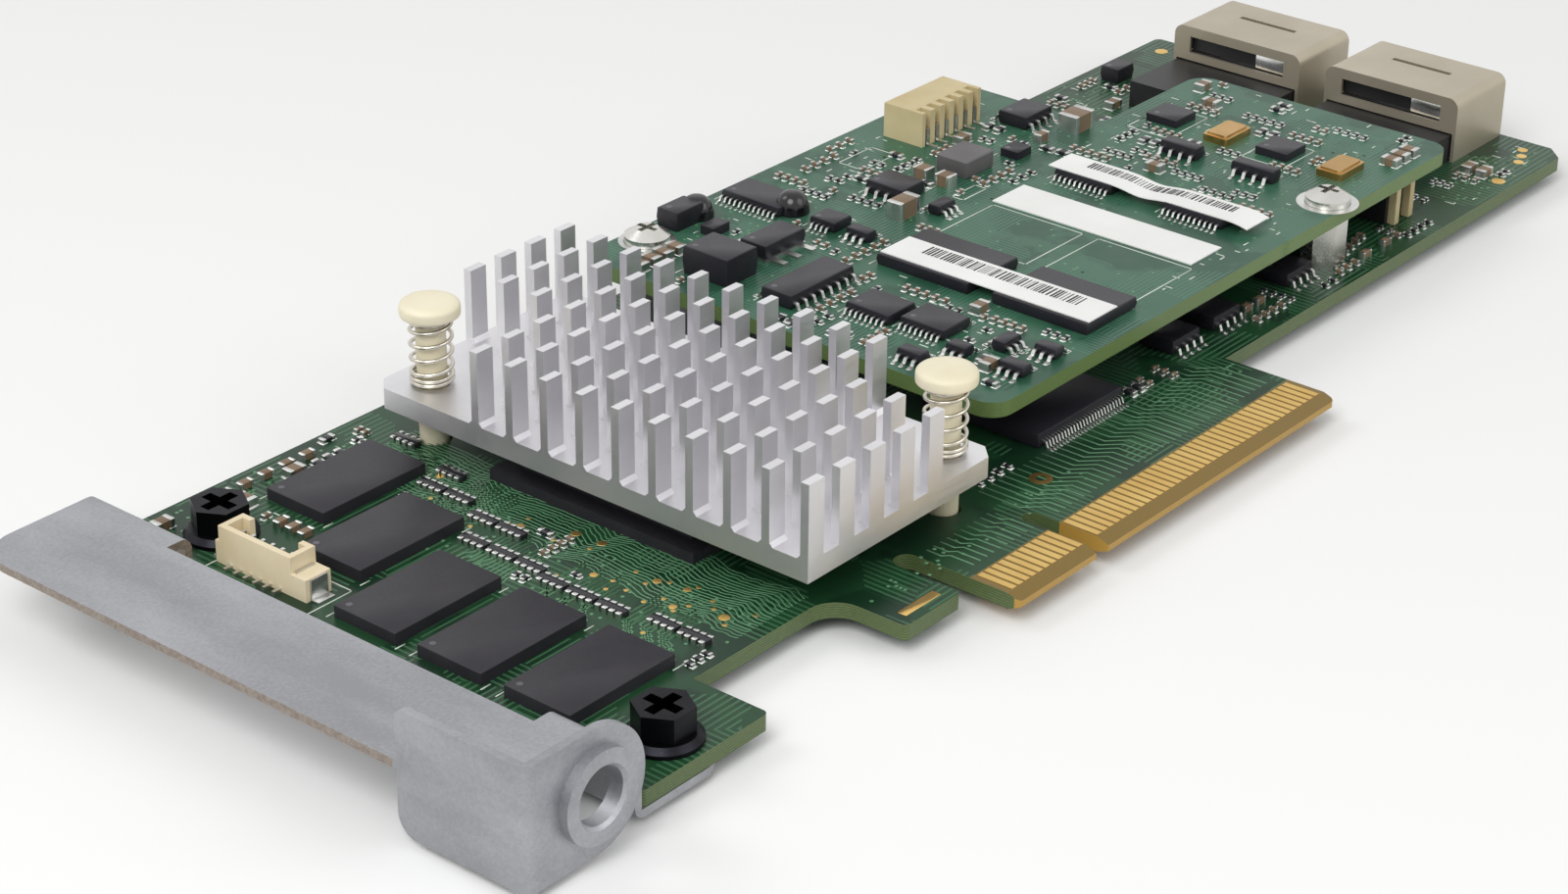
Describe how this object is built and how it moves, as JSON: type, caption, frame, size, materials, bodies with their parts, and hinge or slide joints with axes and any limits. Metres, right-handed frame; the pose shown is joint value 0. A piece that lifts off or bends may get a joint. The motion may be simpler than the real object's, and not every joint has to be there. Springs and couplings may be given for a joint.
{
  "type": "RAID controller card",
  "caption": "Low-profile RAID controller card with gold edge contacts, pin-fin heat sink on sprung pins, stacked daughter board, folded end bracket and two mini-SAS sockets.",
  "frame": {"origin": "key notch of the edge contacts, at the contact edge and half way through the board's thickness", "axes": "+X from the bracket end to the mini-SAS end, +Y from the contact edge to the opposite long edge, +Z out of the component side"},
  "size_m": [0.1817, 0.0693, 0.0175],
  "materials": {
    "solder_mask_board": "satin",
    "gold_contact": "polished",
    "zinc_plated_steel": "satin",
    "black_steel": "satin",
    "plain_aluminium": "satin",
    "cream_nylon": "matte",
    "spring_steel": "polished",
    "nickel_plated_shell": "satin",
    "tinned_lead": "satin",
    "tan_plastic": "matte",
    "label_paper": "matte",
    "ceramic_can": "satin",
    "grey_pad": "matte",
    "grey_ferrite": "matte",
    "black_epoxy": "gloss",
    "chip_plastic": "matte"
  },
  "bodies": {
    "root": {"main_board": "solder_mask_board", "edge_contacts": "gold_contact", "bracket": "zinc_plated_steel", "bracket_screws": "black_steel", "memory_chip_1": "chip_plastic", "memory_chip_2": "chip_plastic", "memory_chip_3": "chip_plastic", "memory_chip_4": "chip_plastic", "memory_chip_5": "chip_plastic", "controller_chip": "chip_plastic", "thermal_pad": "grey_pad", "heat_sink": "plain_aluminium", "push_pins": "cream_nylon", "pin_springs": "spring_steel", "wire_header": "cream_nylon", "wire_header_pins": "tinned_lead", "wire_header_tabs": "tinned_lead", "daughter_board": "solder_mask_board", "standoffs": "zinc_plated_steel", "standoff_screws": "zinc_plated_steel", "stack_socket": "chip_plastic", "stack_plug": "chip_plastic", "stack_pegs": "tan_plastic", "sas_shell_1": "nickel_plated_shell", "sas_housing_1": "chip_plastic", "sas_contacts_1": "gold_contact", "sas_shell_2": "nickel_plated_shell", "sas_housing_2": "chip_plastic", "sas_contacts_2": "gold_contact", "lower_chips": "chip_plastic", "lower_chips_leads": "tinned_lead", "quad_chip": "chip_plastic", "quad_chip_leads": "tinned_lead", "so_chips": "chip_plastic", "so_chips_leads": "tinned_lead", "fine_chips": "chip_plastic", "fine_chips_leads": "tinned_lead", "small_chips": "chip_plastic", "small_chips_leads": "tinned_lead", "flash_chip_1": "chip_plastic", "flash_chip_2": "chip_plastic", "flat_chips": "chip_plastic", "crystals": "ceramic_can", "power_block": "chip_plastic", "inductor": "grey_ferrite", "small_block": "chip_plastic", "chip_capacitors": "tan_plastic", "blank_label": "label_paper", "lower_label": "label_paper", "upper_label": "label_paper", "transistor_leads": "tinned_lead", "transistor": "chip_plastic", "diode": "chip_plastic", "glue_drops": "black_epoxy", "side_header": "tan_plastic", "side_header_pins": "tinned_lead", "resistor_arrays": "chip_plastic", "small_parts": "chip_plastic"}
  },
  "joints": []
}
